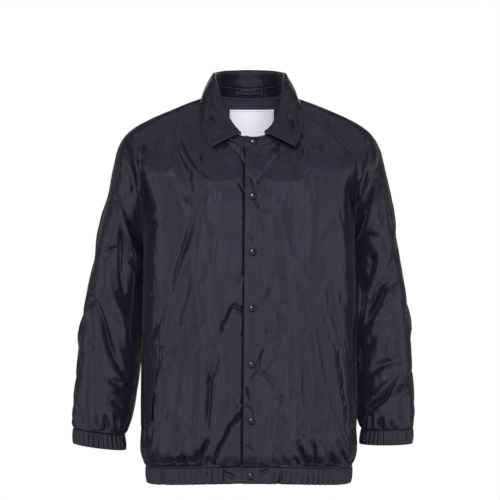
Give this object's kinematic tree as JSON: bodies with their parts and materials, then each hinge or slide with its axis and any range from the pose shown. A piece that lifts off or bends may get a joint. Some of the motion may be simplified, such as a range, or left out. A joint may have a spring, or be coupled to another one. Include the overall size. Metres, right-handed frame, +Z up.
{
  "type": "coach jacket",
  "caption": "Hip-length raglan coach jacket with a turned-down collar, snap front, slanted side pockets and gathered hem and cuffs, shown filled out with no wearer.",
  "frame": {"origin": "middle of the neck opening at the height of the neck ends of the shoulders, where the wearer's shoulders carry the jacket", "axes": "+Z up along the jacket's length, +X to the wearer's left, +Y to the wearer's back"},
  "size_m": [0.66, 0.2906, 0.8018],
  "materials": {
    "nylon": "black taffeta with a soft sheen",
    "label": "matte white",
    "snap": "satin black"
  },
  "bodies": {
    "root": {"left_front": "nylon", "right_front": "nylon", "back": "nylon", "left_sleeve": "nylon", "right_sleeve": "nylon", "left_cuff": "nylon", "right_cuff": "nylon", "hem_band": "nylon", "neckband": "nylon", "collar": "nylon", "left_pocket_welt": "nylon", "right_pocket_welt": "nylon", "hanger_loop": "nylon", "label": "label", "snap_1": "snap", "snap_2": "snap", "snap_3": "snap", "snap_4": "snap", "snap_5": "snap", "snap_6": "snap", "snap_7": "snap"}
  },
  "joints": []
}
